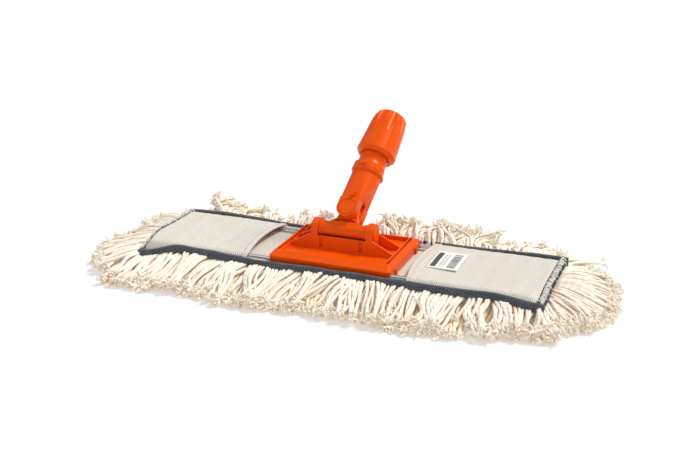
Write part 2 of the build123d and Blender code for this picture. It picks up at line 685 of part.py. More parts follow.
for name, side in (("end_tape_left", -1), ("end_tape_right", 1)):
    with BuildPart() as end_tape:
        with BuildSketch(Plane.XY.offset(BACKING_TOP + SOFT_GAP)):
            with Locations((side * (COVER_HALF - TAPE_LENGTH / 2), 0)):
                Rectangle(TAPE_LENGTH, 2 * CLOTH_HALF)
        extrude(amount=POCKET_TOP + 0.6 - BACKING_TOP - SOFT_GAP)
        fillet(end_tape.edges().filter_by(Axis.Y).group_by(Axis.Z)[-1], 2)
    write(end_tape.part, name)

with BuildPart() as label:
    with BuildSketch(Plane.XY.offset(POCKET_TOP + 0.2)):
        with Locations((123.5, 6)):
            Rectangle(37, 48)
    extrude(amount=0.5)
write(label.part, "label")
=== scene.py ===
import json
import logging
import math
import random
from dataclasses import dataclass, field, replace
from enum import Enum
from functools import cache
from typing import Callable, Sequence

import bmesh
import bpy
from mathutils import Euler, Matrix, Vector, noise

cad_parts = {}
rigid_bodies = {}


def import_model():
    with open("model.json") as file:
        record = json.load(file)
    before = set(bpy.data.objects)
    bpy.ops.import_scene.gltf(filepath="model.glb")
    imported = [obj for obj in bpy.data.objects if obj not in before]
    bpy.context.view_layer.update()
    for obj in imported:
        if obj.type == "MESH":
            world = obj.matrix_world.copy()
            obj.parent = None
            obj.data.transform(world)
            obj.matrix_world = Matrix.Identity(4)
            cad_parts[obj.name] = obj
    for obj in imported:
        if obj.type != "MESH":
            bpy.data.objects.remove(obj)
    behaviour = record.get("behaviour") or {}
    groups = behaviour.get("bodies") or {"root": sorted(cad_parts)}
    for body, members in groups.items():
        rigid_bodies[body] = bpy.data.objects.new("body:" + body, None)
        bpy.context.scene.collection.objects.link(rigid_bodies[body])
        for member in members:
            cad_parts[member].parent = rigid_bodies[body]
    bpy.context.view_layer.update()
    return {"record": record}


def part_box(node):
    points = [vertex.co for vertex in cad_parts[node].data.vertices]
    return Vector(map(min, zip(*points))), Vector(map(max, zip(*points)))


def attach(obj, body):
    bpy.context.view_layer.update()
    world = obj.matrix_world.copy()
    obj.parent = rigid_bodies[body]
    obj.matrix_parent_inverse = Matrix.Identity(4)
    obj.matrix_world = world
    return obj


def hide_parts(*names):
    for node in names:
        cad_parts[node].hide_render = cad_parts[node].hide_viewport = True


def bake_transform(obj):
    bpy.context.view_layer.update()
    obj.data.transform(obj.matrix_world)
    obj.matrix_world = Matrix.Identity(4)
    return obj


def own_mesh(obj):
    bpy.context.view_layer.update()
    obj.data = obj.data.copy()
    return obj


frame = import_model()

log = logging.getLogger("flat_mop")

Socket = bpy.types.NodeSocket
Node = bpy.types.Node
Tree = bpy.types.NodeTree
Piece = bpy.types.Object
Colour = tuple[float, float, float, float]

# ---- Sizes read from the frame ----

MM = 0.001
BACKING_LOW, BACKING_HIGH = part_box("backing_right")
WIRE_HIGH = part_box("wire_right")[1]
BINDING_LOW, BINDING_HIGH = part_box("binding_back_right")
TAPE_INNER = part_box("end_tape_right")[0][0]
LABEL_LOW, LABEL_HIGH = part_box("label")
FRINGE_END_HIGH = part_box("fringe_end_right")[1]
FRINGE_BACK_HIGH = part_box("fringe_back_right")[1]

COVER_HALF_LENGTH = BACKING_HIGH[0]
COVER_HALF_WIDTH = BINDING_HIGH[1]
CLOTH_Z = (BACKING_LOW[2] + BACKING_HIGH[2]) / 2
WIRE_TOP = WIRE_HIGH[2]
WIRE_RADIUS = 2.5 * MM
WIRE_AXIS_Y = WIRE_HIGH[1] - WIRE_RADIUS
WIRE_AXIS_X = WIRE_HIGH[0] - WIRE_RADIUS
YARN_TOP = BACKING_LOW[2]


class Side(Enum):
    """The two ends of the mop, as the sign of X."""

    LEFT = -1
    RIGHT = 1

    @property
    def label(self) -> str:
        """Lower-case name used in piece and body names."""
        return self.name.lower()

    @property
    def wing(self) -> str:
        """Name of the wing's body."""
        return f"{self.label}_wing"


class Edge(Enum):
    """The two long edges of the mop, as the sign of Y."""

    FRONT = -1
    BACK = 1

    @property
    def label(self) -> str:
        """Lower-case name used in piece names."""
        return self.name.lower()


# ---- Shader nodes ----


class Nodes:
    """Places and joins nodes in one shader tree."""

    def __init__(self, tree: Tree) -> None:
        """Work on a tree.

        Args:
            tree: The material's or group's node tree.
        """
        self.tree = tree

    def feed(self, socket: Socket, value: object) -> None:
        """Join a socket to another, or set its number or colour.

        Args:
            socket: The input to fill.
            value: An output socket, a number, or a colour.
        """
        if isinstance(value, Socket):
            self.tree.links.new(value, socket)
        elif value is not None:
            socket.default_value = value

    def add(self, kind: str, inputs: dict | None = None, **settings: object) -> Node:
        """Add a node.

        Args:
            kind: The node's type name, such as ShaderNodeMath.
            inputs: Values or sockets by input name or index.
            **settings: Attributes of the node.

        Returns:
            The new node.
        """
        node = self.tree.nodes.new(kind)
        for key, value in settings.items():
            setattr(node, key, value)
        self.fill(node, inputs or {})
        return node

    def fill(self, node: Node, inputs: dict) -> None:
        """Join or set several inputs of a node, by name or index."""
        for key, value in inputs.items():
            self.feed(node.inputs[key], value)

    def math(self, operation: str, *values: object) -> Socket:
        """Combine numbers with a Math node and return its output."""
        return self.add("ShaderNodeMath", dict(enumerate(values)), operation=operation).outputs[0]

    def times(self, first: object, second: object) -> Socket:
        """Multiply two values."""
        return self.math("MULTIPLY", first, second)

    def noise(self, vector: object, scale: float, detail: float = 3.0) -> Socket:
        """Return a noise value over a vector."""
        inputs = {"Vector": vector, "Scale": scale, "Detail": detail}
        return self.add("ShaderNodeTexNoise", inputs).outputs["Fac"]

    def span(self, value: object, low: float, high: float, to_low: float = 0.0,
             to_high: float = 1.0) -> Socket:
        """Stretch a value from one range to another, clamped, and return it."""
        inputs = {"Value": value, "From Min": low, "From Max": high, "To Min": to_low, "To Max": to_high}
        return self.add("ShaderNodeMapRange", inputs).outputs["Result"]

    def blend(self, factor: object, first: object, second: object) -> Socket:
        """Mix two colours and return the result."""
        inputs = {"Factor": factor, 6: first, 7: second}
        return self.add("ShaderNodeMix", inputs, data_type="RGBA").outputs[2]

    def bump(self, height: object, strength: float, distance: float, normal: object = None
             ) -> Socket:
        """Return a normal bumped by a height."""
        inputs = {"Height": height, "Strength": strength, "Distance": distance, "Normal": normal}
        return self.add("ShaderNodeBump", inputs).outputs["Normal"]

    def position(self) -> Socket:
        """Return Object coordinates."""
        return self.add("ShaderNodeTexCoord").outputs["Object"]

    def use(self, group: Tree, inputs: dict) -> Node:
        """Place a shared group, fill its inputs and return its node."""
        return self.add("ShaderNodeGroup", inputs, node_tree=group)


class Effects:
    """Shader groups that several finishes share, each built once."""

    @staticmethod
    def start(name: str, inputs: dict[str, str], outputs: dict[str, str]) -> tuple[Nodes, Node, Node]:
        """Open a new group with named sockets.

        Args:
            name: The group's name.
            inputs: Socket type by input name.
            outputs: Socket type by output name.

        Returns:
            The node placer, the group's input node and its output node.
        """
        group = bpy.data.node_groups.new(name, "ShaderNodeTree")
        for key, kind in inputs.items():
            group.interface.new_socket(key, in_out="INPUT", socket_type=kind)
        for key, kind in outputs.items():
            group.interface.new_socket(key, in_out="OUTPUT", socket_type=kind)
        nodes = Nodes(group)
        return nodes, nodes.add("NodeGroupInput"), nodes.add("NodeGroupOutput")

    @staticmethod
    @cache
    def moulding() -> Tree:
        """Soft mottling, fine grain and pale rubbed edges of a moulded or plated surface."""
        value = "NodeSocketFloat"
        vector = "NodeSocketVector"
        nodes, given, out = Effects.start("moulding", {"Vector": vector, "Grain": value, "Edge": value},
                                      {"Mottle": value, "Height": value, "Edge": value, "Normal": vector})
        mottle = nodes.noise(given.outputs["Vector"], 38.0, 4.0)
        grain = nodes.noise(given.outputs["Vector"], given.outputs["Grain"], 2.0)
        bevel = nodes.add("ShaderNodeBevel", {"Radius": given.outputs["Edge"]}, samples=4)
        rounded = bevel.outputs["Normal"]
        flat = nodes.add("ShaderNodeNewGeometry").outputs["Normal"]
        facing = nodes.add("ShaderNodeVectorMath", {0: rounded, 1: flat}, operation="DOT_PRODUCT")
        scratches = nodes.noise(given.outputs["Vector"], 420.0, 2.0)
        bend = nodes.span(facing.outputs["Value"], 0.985, 0.8)
        edge = nodes.times(bend, nodes.span(scratches, 0.3, 0.6, 0.35))
        nodes.fill(out, {"Normal": rounded, "Mottle": mottle, "Height": grain, "Edge": edge})
        return nodes.tree

    @staticmethod
    @cache
    def herringbone() -> Tree:
        """Chevron twill: ribs that slant one way, then the other, across narrow stripes."""
        value = "NodeSocketFloat"
        nodes, given, out = Effects.start(
            "herringbone", {"Vector": "NodeSocketVector", "Stripe": value, "Rib": value},
            {"Rib": value, "Thread": value})
        place = nodes.add("ShaderNodeSeparateXYZ", {0: given.outputs["Vector"]})
        x, y = place.outputs["X"], place.outputs["Y"]
        stripe = nodes.math("PINGPONG", nodes.math("DIVIDE", x, given.outputs["Stripe"]), 1.0)
        slant = nodes.times(stripe, nodes.times(given.outputs["Stripe"], 1.2))
        along = nodes.math("DIVIDE", nodes.math("ADD", y, slant), given.outputs["Rib"])
        rib = nodes.math("SINE", nodes.times(along, math.tau))
        cross = nodes.math("SINE", nodes.times(x, 5200.0))
        nodes.fill(out, {"Rib": nodes.span(rib, -1.0, 1.0), "Thread": nodes.span(cross, -1.0, 1.0)})
        return nodes.tree

    @staticmethod
    @cache
    def plies() -> Tree:
        """Slanting plies and stray fibres around a cord, from its own UV map."""
        value = "NodeSocketFloat"
        nodes, given, out = Effects.start("plies", {"Turns": value, "Plies": value},
                                      {"Ply": value, "Fibre": value})
        uv = nodes.add("ShaderNodeUVMap", uv_map="UVMap").outputs["UV"]
        place = nodes.add("ShaderNodeSeparateXYZ", {0: uv})
        along = nodes.times(place.outputs["X"], given.outputs["Turns"])
        around = nodes.times(place.outputs["Y"], given.outputs["Plies"])
        ply = nodes.math("SINE", nodes.times(nodes.math("ADD", along, around), math.tau))
        fibre = nodes.noise(nodes.position(), 1500.0, 2.0)
        nodes.fill(out, {"Ply": nodes.span(ply, -1.0, 1.0), "Fibre": fibre})
        return nodes.tree


# ---- Finishes ----


def linear(red: int, green: int, blue: int) -> Colour:
    """Turn an 8-bit display colour into a linear one."""
    parts = [((c / 255 + 0.055) / 1.055) ** 2.4 if c > 10 else c / 3294.6 for c in (red, green, blue)]
    return (*parts, 1.0)


FINISHED: dict[str, bpy.types.Material] = {}


@dataclass(frozen=True)
class Finish:
    """One material; each kind fills in its own pattern."""

    name: str
    colour: Colour
    roughness: float

    def make(self) -> bpy.types.Material:
        """Build the material, or return it if it was built already."""
        if self.name in FINISHED:
            return FINISHED[self.name]
        material = FINISHED[self.name] = bpy.data.materials.new(self.name)
        material.use_nodes = True
        material.diffuse_color = self.colour
        tree = material.node_tree
        shader = next(n for n in tree.nodes if n.type == "BSDF_PRINCIPLED")
        nodes = Nodes(tree)
        nodes.fill(shader, {"Roughness": self.roughness, "Base Color": self.colour})
        self.pattern(nodes, shader)
        return material

    def pattern(self, nodes: Nodes, shader: Node) -> None:
        """Join the finish's own pattern to the shader."""


@dataclass(frozen=True)
class MouldedPlastic(Finish):
    """Injection-moulded plastic with a soft gloss."""

    # Darker tone for the random mottling, and the colour of the painted shade in recesses.
    deep: Colour = (0.68, 0.05, 0.0, 1.0)
    rubbed: Colour = (1.0, 0.27, 0.04, 1.0)

    def pattern(self, nodes: Nodes, shader: Node) -> None:
        """Mottle the colour, paint shade into recesses, pale the edges and add a fine mould grain."""
        place = nodes.position()
        inputs = {"Vector": place, "Grain": 2600.0, "Edge": 0.0006}
        effect = nodes.use(Effects.moulding(), inputs).outputs
        colour = nodes.blend(nodes.span(effect["Mottle"], 0.3, 0.75, 0.0, 0.3), self.colour, self.deep)
        # Painted shade: the colour darkens where ambient occlusion finds nearby surfaces, in recesses and
        # corners.
        painted_shade_ao = nodes.add("ShaderNodeAmbientOcclusion", {"Distance": 0.009}, samples=4).outputs["AO"]
        colour = nodes.blend(nodes.span(painted_shade_ao, 0.8, 0.25, 0.0, 0.8), colour, self.deep)
        rough = nodes.span(effect["Mottle"], 0.3, 0.7, self.roughness - 0.05, self.roughness + 0.07)
        nodes.fill(shader, {
            "Base Color": nodes.blend(effect["Edge"], colour, self.rubbed),
            "Roughness": rough,
            "Normal": nodes.bump(effect["Height"], 0.22, 0.0002, effect["Normal"]),
            "Specular IOR Level": 0.35,
            "Specular Tint": (1.0, 0.7, 0.4, 1.0),
        })


@dataclass(frozen=True)
class PlatedMetal(Finish):
    """Drawn and plated wire, or plain turned steel."""

    def pattern(self, nodes: Nodes, shader: Node) -> None:
        """Add faint drawing marks and handling haze to the metal."""
        place = nodes.position()
        effect = nodes.use(Effects.moulding(), {"Vector": place, "Grain": 900.0, "Edge": 0.0002}).outputs
        dull = tuple(0.82 * c for c in self.colour[:3]) + (1.0,)
        nodes.fill(shader, {
            "Metallic": 1.0,
            "Roughness": nodes.span(effect["Mottle"], 0.35, 0.75, self.roughness, self.roughness + 0.16),
            "Base Color": nodes.blend(effect["Mottle"], self.colour, dull),
            "Normal": nodes.bump(effect["Height"], 0.05, 0.0002, effect["Normal"]),
        })


@dataclass(frozen=True)
class Canvas(Finish):
    """Unbleached cotton canvas in a herringbone weave."""

    # Painted shade in the weave's grooves, and the darker tone of slubs.
    shade: Colour = (0.5, 0.43, 0.33, 1.0)
    stripe: float = 0.0125
    rib: float = 0.0032

    def pattern(self, nodes: Nodes, shader: Node) -> None:
        """Weave the chevrons with painted shade in their grooves, with slubs and seed flecks."""
        place = nodes.position()
        weave = nodes.use(Effects.herringbone(),
                          {"Vector": place, "Stripe": self.stripe, "Rib": self.rib}).outputs
        slub = nodes.noise(place, 240.0, 4.0)
        fleck = nodes.span(nodes.noise(place, 900.0, 1.0), 0.72, 0.8)
        # Painted shade: the grooves between ribs are darkened.
        groove = nodes.times(nodes.span(weave["Rib"], 0.6, 0.1), 0.6)
        colour = nodes.blend(groove, self.colour, self.shade)
        colour = nodes.blend(nodes.span(slub, 0.4, 0.8, 0.0, 0.16), colour, self.shade)
        height = nodes.math("ADD", weave["Rib"], nodes.times(weave["Thread"], 0.35))
        nodes.fill(shader, {"Base Color": nodes.blend(nodes.times(fleck, 0.3), colour, linear(150, 120, 85)),
                            "Normal": nodes.bump(height, 0.9, 0.0006),
                            "Sheen Weight": 0.25, "Sheen Roughness": 0.6, "Specular IOR Level": 0.2})


@dataclass(frozen=True)
class WovenTape(Finish):
    """Narrow dark tape with a fine cross rib."""

    pale: Colour = (0.1, 0.11, 0.13, 1.0)

    def pattern(self, nodes: Nodes, shader: Node) -> None:
        """Add ribs across the tape and a faded nap."""
        place = nodes.position()
        parts = nodes.add("ShaderNodeSeparateXYZ", {0: place})
        rib = nodes.math("SINE", nodes.times(parts.outputs["X"], 4200.0))
        nap = nodes.noise(place, 700.0, 4.0)
        fade = nodes.noise(place, 60.0, 3.0)
        mask = nodes.times(nodes.span(nap, 0.4, 0.75), nodes.span(fade, 0.3, 0.7, 0.35, 0.9))
        height = nodes.math("ADD", nodes.span(rib, -1.0, 1.0, 0.0, 0.6), nap)
        nodes.fill(shader, {"Base Color": nodes.blend(mask, self.colour, self.pale),
                            "Normal": nodes.bump(height, 0.5, 0.0004),
                            "Sheen Weight": 0.4, "Sheen Roughness": 0.5, "Specular IOR Level": 0.2})


@dataclass(frozen=True)
class CottonCord(Finish):
    """Plied cotton: pale plies with warm shadow between them."""

    # Painted shade in the valleys between plies.
    shade: Colour = (0.62, 0.44, 0.26, 1.0)
    # Painted tan shade in the gaps between cords.
    crevice: Colour = (0.58, 0.27, 0.085, 1.0)
    turns: float = 9.0
    # Strength of the painted shade in the gaps between cords.
    depth: float = 0.85
    # Strength of a warm painted glow; the yarn is no lamp.
    glow: float = 0.07

    def pattern(self, nodes: Nodes, shader: Node) -> None:
        """Wind the plies round the cord, with painted shade in the ply valleys, painted tan shade in the
        gaps between cords and a warm painted glow.
        """
        effect = nodes.use(Effects.plies(), {"Turns": self.turns, "Plies": 3.0}).outputs
        place = nodes.position()
        drift = nodes.noise(place, 42.0, 3.0)
        # Painted shade in the valleys between plies.
        ply_valley_shade = nodes.times(nodes.span(effect["Ply"], 0.4, 0.0), 0.3)
        colour = nodes.blend(ply_valley_shade, self.colour, self.shade)
        warm = nodes.blend(nodes.span(drift, 0.45, 0.75, 0.0, 0.3), colour, linear(238, 216, 182))
        # Painted shade: tan where ambient occlusion finds neighbouring cords close by.
        painted_shade_ao = nodes.add("ShaderNodeAmbientOcclusion", {"Distance": 0.008}, samples=3).outputs["AO"]
        cord_gap_mask = nodes.span(painted_shade_ao, 0.5, 0.06, 0.0, self.depth)
        height = nodes.math("ADD", effect["Ply"], nodes.times(effect["Fibre"], 0.6))
        # Painted glow: a warm emission that lightens the yarn.
        nodes.fill(shader, {"Base Color": nodes.blend(cord_gap_mask, warm, self.crevice),
                            "Normal": nodes.bump(height, 0.6, 0.0006),
                            "Sheen Weight": 0.3, "Sheen Roughness": 0.5, "Specular IOR Level": 0.15,
                            "Emission Color": (1.0, 0.84, 0.6, 1.0), "Emission Strength": self.glow})


@dataclass(frozen=True)
class PrintedLabel(Finish):
    """White woven label with plain printed bars and no lettering."""

    ink: Colour = (0.02, 0.02, 0.022, 1.0)

    def pattern(self, nodes: Nodes, shader: Node) -> None:
        """Print bars across the label from its own UV map."""
        uv = nodes.add("ShaderNodeUVMap", uv_map="UVMap").outputs["UV"]
        place = nodes.add("ShaderNodeSeparateXYZ", {0: uv})
        across, down = place.outputs["X"], place.outputs["Y"]

        def inside(value: object, low: float, high: float) -> Socket:
            """Return 1 where a value lies between two numbers."""
            above = nodes.math("GREATER_THAN", value, low)
            return nodes.times(above, nodes.math("LESS_THAN", value, high))

        heading = nodes.times(inside(across, 0.1, 0.27), inside(down, 0.08, 0.92))
        code = nodes.times(inside(across, 0.62, 0.88), inside(down, 0.1, 0.9))
        stripes = nodes.noise(nodes.times(down, 40.0), 1.0, 0.0)
        bars = nodes.times(code, nodes.math("GREATER_THAN", stripes, 0.47))
        lines = nodes.math("GREATER_THAN", nodes.math("SINE", nodes.times(across, 68.0)), 0.35)
        body = nodes.times(inside(across, 0.32, 0.56), inside(down, 0.12, 0.84))
        broken = nodes.math("GREATER_THAN", nodes.noise(uv, 26.0, 1.0), 0.44)
        text = nodes.times(nodes.times(body, lines), broken)
        printed = nodes.math("MAXIMUM", nodes.times(heading, 0.93), nodes.times(bars, 0.8))
        ink = nodes.math("MAXIMUM", printed, nodes.times(text, 0.7))
        thread = nodes.noise(nodes.position(), 1800.0, 2.0)
        nodes.fill(shader, {"Base Color": nodes.blend(ink, self.colour, self.ink),
                            "Normal": nodes.bump(thread, 0.3, 0.0002)})


ORANGE = MouldedPlastic("orange_plastic", linear(242, 86, 0), 0.34)
CHROME = PlatedMetal("chrome_wire", (0.82, 0.84, 0.87, 1.0), 0.1)
STEEL = PlatedMetal("axle_steel", (0.5, 0.5, 0.52, 1.0), 0.28)
# Its darker tone serves both the mottling and the painted shade in recesses.
NYLON = MouldedPlastic("white_nylon", linear(232, 229, 220), 0.45,
                       deep=linear(214, 209, 196), rubbed=linear(245, 244, 240))
CANVAS = Canvas("canvas", linear(250, 244, 232), 0.9)
TAPE = WovenTape("binding_tape", linear(62, 66, 75), 0.85, linear(122, 126, 134))
DARK_THREAD = WovenTape("dark_thread", linear(34, 35, 41), 0.8, linear(78, 82, 91))
GREY_THREAD = WovenTape("grey_thread", linear(96, 98, 104), 0.85, linear(160, 162, 166))
# Its shade colours are painted shade between its plies and between threads.
WHITE_THREAD = CottonCord("white_thread", linear(240, 238, 232), 0.85,
                          shade=linear(196, 190, 180), crevice=linear(225, 220, 210), turns=40.0)
YARN = CottonCord("cotton_yarn", linear(255, 250, 238), 0.92)
# A darker, warmer copy of the yarn: painted shade for the lower layer under the upper one.
SHADED_LOWER_YARN = CottonCord("lower_yarn", linear(247, 236, 212), 0.92)
# The tufts carry a paler painted gap shade and a stronger warm painted glow.
TUFTS = CottonCord("yarn_tufts", linear(255, 250, 238), 0.95,
                   crevice=(0.66, 0.42, 0.2, 1.0), depth=0.4, glow=0.16)
SOLE_YARN = CottonCord("sole_yarn", linear(240, 230, 208), 0.92, turns=30.0)
LABEL = PrintedLabel("printed_label", linear(244, 243, 238), 0.7)


# ---- Mesh helpers ----


def smooth_step(low: float, high: float, value: float) -> float:
    """Return 0 below low, 1 above high, and an even curve between."""
    t = min(1.0, max(0.0, (value - low) / (high - low)))
    return t * t * (3 - 2 * t)


def keep_mesh(shape: bmesh.types.BMesh, name: str) -> bpy.types.Mesh:
    """Turn a finished shape into a mesh and let the shape go."""
    mesh = bpy.data.meshes.new(name)
    shape.to_mesh(mesh)
    shape.free()
    return mesh


def finish_piece(mesh: bpy.types.Mesh, name: str, finish: Finish) -> Piece:
    """Put a mesh in the scene with its material and smooth faces.

    Args:
        mesh: The mesh, with its place in it.
        name: The piece's name.
        finish: Its finish.

    Returns:
        The new object.
    """
    for vert in mesh.vertices:
        vert.co.x += HANG.splay(vert.co.x, vert.co.y)
    piece = bpy.data.objects.new(name, mesh)
    bpy.context.scene.collection.objects.link(piece)
    mesh.materials.append(finish.make())
    mesh.polygons.foreach_set("use_smooth", [True] * len(mesh.polygons))
    return piece


def patch(side: Side, inner: float, outer: float, half: float) -> tuple[Vector, Vector]:
    """Give the lower and upper corners, in plan, of a patch at one end of the mop."""
    low, high = sorted((side.value * inner, side.value * outer))
    return Vector((low, -half, 0)), Vector((high, half, 0))


def grid_piece(name: str, finish: Finish, low: Vector, high: Vector, steps: tuple[int, int],
               place: Callable[[float, float], Vector], thickness: float) -> Piece:
    """Make a sheet from a grid whose points a function puts in place.

    Args:
        name: The piece's name.
        finish: Its finish.
        low: The cut's lower corner in plan.
        high: The cut's upper corner in plan.
        steps: Cells along X and Y.
        place: Gives a point on the hung sheet for a point of the flat cut.
        thickness: Thickness of the cloth.

    Returns:
        The sheet, with its wall already given.
    """
    shape = bmesh.new()
    bmesh.ops.create_grid(shape, x_segments=steps[0], y_segments=steps[1], size=0.5, calc_uvs=False)
    for vert in shape.verts:
        x = low[0] + (vert.co.x + 0.5) * (high[0] - low[0])
        y = low[1] + (vert.co.y + 0.5) * (high[1] - low[1])
        vert.co = place(x, y)
    bmesh.ops.recalc_face_normals(shape, faces=shape.faces)
    if sum(f.normal.z for f in shape.faces) < 0:
        bmesh.ops.reverse_faces(shape, faces=shape.faces)
    bmesh.ops.solidify(shape, geom=shape.faces[:], thickness=thickness)
    layer = shape.loops.layers.uv.new("UVMap")
    for loop in (loop for face in shape.faces for loop in face.loops):
        along = (loop.vert.co.x - low[0]) / (high[0] - low[0])
        loop[layer].uv = (along, (loop.vert.co.y - low[1]) / (high[1] - low[1]))
    return finish_piece(keep_mesh(shape, name), name, finish)


@dataclass
class Strand:
    """One cord's centre line, with a radius at each point."""

    points: list[Vector]
    radii: list[float]


def lifted(at: Vector, least: float) -> Vector:
    """Keep a point at least a given height above the floor."""
    return Vector((at.x, at.y, max(at.z, least)))


def strands_mesh(name: str, strands: Sequence[Strand], sides: int = 6) -> bpy.types.Mesh:
    """Turn many centre lines into one mesh of round cords.

    Args:
        name: The mesh's name.
        strands: The centre lines and radii.
        sides: Faces round each cord, an even number.

    Returns:
        The mesh, with a UV map that runs along and round each cord.
    """
    curve = bpy.data.curves.new(name, "CURVE")
    curve.dimensions = "3D"
    curve.bevel_depth = 1.0
    curve.bevel_resolution = max(0, sides // 2 - 2)
    curve.use_fill_caps = True
    for strand in strands:
        spline = curve.splines.new("POLY")
        spline.points.add(len(strand.points) - 1)
        for point, place, radius in zip(spline.points, strand.points, strand.radii):
            point.co = (*place, 1.0)
            point.radius = radius
    holder = bpy.data.objects.new(name + "_lines", curve)
    bpy.context.scene.collection.objects.link(holder)
    graph = bpy.context.evaluated_depsgraph_get()
    mesh = bpy.data.meshes.new_from_object(holder.evaluated_get(graph))
    mesh.name = name
    bpy.data.objects.remove(holder)
    bpy.data.curves.remove(curve)
    return mesh


def sew(name: str, strands: Sequence[Strand], finish: Finish, sides: int = 4) -> Piece:
    """Make threads or cords of one finish into a piece."""
    return finish_piece(strands_mesh(name, strands, sides), name, finish)


# ---- The hang of the cover ----


@dataclass(frozen=True)
class Hang:
    """How the cover's edge rises and droops beyond the wire loops."""

    left_droop: float = 13 * MM
    right_droop: float = 6 * MM
    wave: float = 1.4 * MM
    pull: float = 7 * MM

    def offset(self, x: float, y: float) -> float:
        """Height that the cloth gains or loses at a place in plan.

        Args:
            x: Place along the mop.
            y: Place across it.

        Returns:
            The change in height, in metres.
        """
        droop = self.left_droop if x < 0 else self.right_droop
        beyond = smooth_step(WIRE_AXIS_X - 46 * MM, COVER_HALF_LENGTH, abs(x))
        free = smooth_step(WIRE_AXIS_X, COVER_HALF_LENGTH - 4 * MM, abs(x))
        outer = smooth_step((WIRE_AXIS_Y - 2 * MM) * (1 - 0.9 * free), COVER_HALF_WIDTH, -y)
        ripple = self.wave * math.sin(abs(x) * 34 + (1.3 if x < 0 else 0.2)) * smooth_step(
            WIRE_AXIS_Y, COVER_HALF_WIDTH, abs(y))
        return -droop * beyond * outer + ripple

    def splay(self, x: float, y: float) -> float:
        """Way that the left end's front corner is pulled outwards at a place in plan."""
        near_end = smooth_step(180 * MM, COVER_HALF_LENGTH, -x)
        return -self.pull * near_end * smooth_step(-40 * MM, 58 * MM, -y)


HANG = Hang()


def binding_height(x: float, edge: Edge) -> float:
    """Height of the rolled binding's middle at a place along the mop."""
    base = (BINDING_LOW[2] + BINDING_HIGH[2]) / 2 - 0.6 * MM
    pressed = -2.4 * MM * (1 - smooth_step(60 * MM, 120 * MM, abs(x)))
    return base + pressed + HANG.offset(x, edge.value * COVER_HALF_WIDTH)


def ride_wing(piece: Piece, side: Side) -> None:
    """Bake a soft piece's placement into its mesh.

    Args:
        piece: The piece, wholly on one side of the middle.
        side: Its end of the mop; not used.
    """
    side.wing
    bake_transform(piece)


# ---- Cover ----


